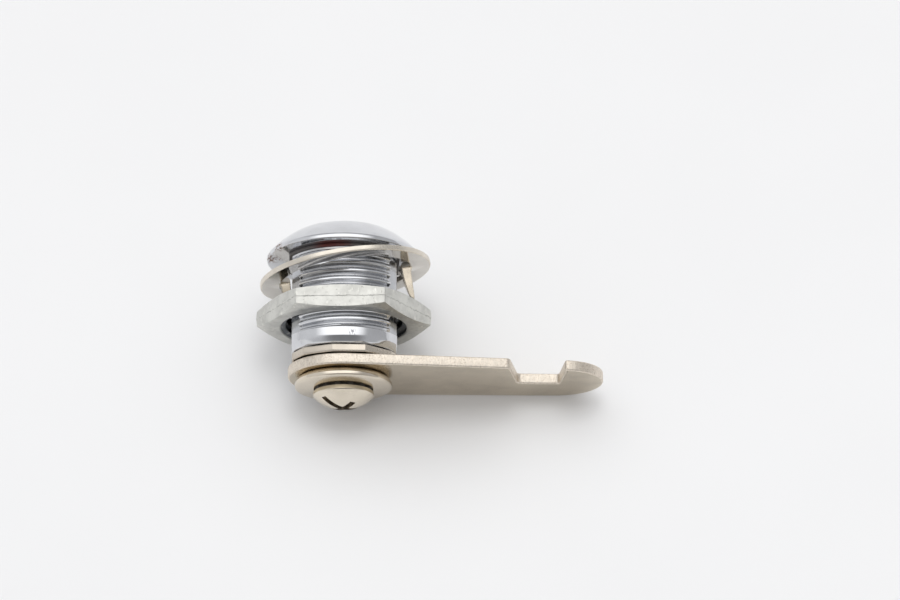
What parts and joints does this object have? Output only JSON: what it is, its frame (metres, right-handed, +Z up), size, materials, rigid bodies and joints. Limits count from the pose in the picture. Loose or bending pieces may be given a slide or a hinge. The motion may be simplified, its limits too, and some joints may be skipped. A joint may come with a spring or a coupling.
{
  "type": "cam lock",
  "caption": "Quarter-turn cam lock: domed chrome head, threaded double-D barrel with spur washer and hex nut, wafer key plug with dust shutter, and a hooked cam on the tail.",
  "frame": {"origin": "on the lock's axis, in the plane of the head's underside, which sits on the panel", "axes": "+Y along the lock's axis from the head to the cam screw, +Z up along the key slot, and the cam points to -X"},
  "size_m": [0.0534, 0.0277, 0.0265],
  "materials": {
    "body_chrome": "polished",
    "seal_rubber": "matte",
    "nickel_sheet": "polished",
    "nut_zinc": "matte",
    "plug_zinc": "satin",
    "cap_chrome": "polished",
    "shutter_steel": "satin",
    "spring_wire": "satin",
    "wafer_brass": "satin",
    "cam_nickel": "polished",
    "tooth_steel": "matte",
    "screw_nickel": "polished"
  },
  "bodies": {
    "barrel": {"lock_body": "body_chrome", "head_seal": "seal_rubber"},
    "nut": {"hex_nut": "nut_zinc"},
    "spur": {"spur_washer": "nickel_sheet"},
    "plug": {"key_plug": "plug_zinc", "face_cap": "cap_chrome", "shutter_pin": "shutter_steel", "shutter_spring": "spring_wire", "wafer_spring_1": "spring_wire", "wafer_spring_2": "spring_wire", "wafer_spring_3": "spring_wire", "wafer_spring_4": "spring_wire", "wafer_spring_5": "spring_wire", "wafer_spring_6": "spring_wire", "stop_washer": "nickel_sheet", "cam": "cam_nickel", "flat_washer": "nickel_sheet", "toothed_washer": "tooth_steel", "cam_screw": "screw_nickel"},
    "shutter": {"dust_shutter": "shutter_steel"},
    "wafer_1": {"wafer_1": "wafer_brass"},
    "wafer_2": {"wafer_2": "wafer_brass"},
    "wafer_3": {"wafer_3": "wafer_brass"},
    "wafer_4": {"wafer_4": "wafer_brass"},
    "wafer_5": {"wafer_5": "wafer_brass"},
    "wafer_6": {"wafer_6": "wafer_brass"}
  },
  "joints": [
    {"name": "plug_turn", "type": "hinge", "parent": "barrel", "child": "plug", "pos_m": [0, 0, 0], "axis": [0, 1, 0], "range_deg": [-90, 0]},
    {"name": "nut_travel", "type": "slide", "parent": "barrel", "child": "nut", "axis": [0, 1, 0], "range_m": [-0.00127, 0.00254]},
    {"name": "spur_washer_tilt", "type": "hinge", "parent": "barrel", "child": "spur", "pos_m": [-0.01175, 0, -0.00186], "axis": [0.1564, 0, -0.9877], "range_deg": [0, 8.7]},
    {"name": "shutter_swing", "type": "hinge", "parent": "plug", "child": "shutter", "pos_m": [0.0019, -0.0028, 0], "axis": [0, 0, -1], "range_deg": [0, 88], "stiffness_Nm_per_rad": 0.00002},
    {"name": "wafer_1_slide", "type": "slide", "parent": "plug", "child": "wafer_1", "axis": [0, 0, 1], "range_m": [0, 0.0008], "stiffness_N_per_m": 60, "springref_m": 0.0012, "deforming": ["wafer_spring_1"]},
    {"name": "wafer_2_slide", "type": "slide", "parent": "plug", "child": "wafer_2", "axis": [0, 0, -1], "range_m": [0, 0.0008], "stiffness_N_per_m": 60, "springref_m": 0.0012, "deforming": ["wafer_spring_2"]},
    {"name": "wafer_3_slide", "type": "slide", "parent": "plug", "child": "wafer_3", "axis": [0, 0, 1], "range_m": [0, 0.0008], "stiffness_N_per_m": 60, "springref_m": 0.0012, "deforming": ["wafer_spring_3"]},
    {"name": "wafer_4_slide", "type": "slide", "parent": "plug", "child": "wafer_4", "axis": [0, 0, -1], "range_m": [0, 0.0008], "stiffness_N_per_m": 60, "springref_m": 0.0012, "deforming": ["wafer_spring_4"]},
    {"name": "wafer_5_slide", "type": "slide", "parent": "plug", "child": "wafer_5", "axis": [0, 0, 1], "range_m": [0, 0.0008], "stiffness_N_per_m": 60, "springref_m": 0.0012, "deforming": ["wafer_spring_5"]},
    {"name": "wafer_6_slide", "type": "slide", "parent": "plug", "child": "wafer_6", "axis": [0, 0, -1], "range_m": [0, 0.0008], "stiffness_N_per_m": 60, "springref_m": 0.0012, "deforming": ["wafer_spring_6"]}
  ]
}
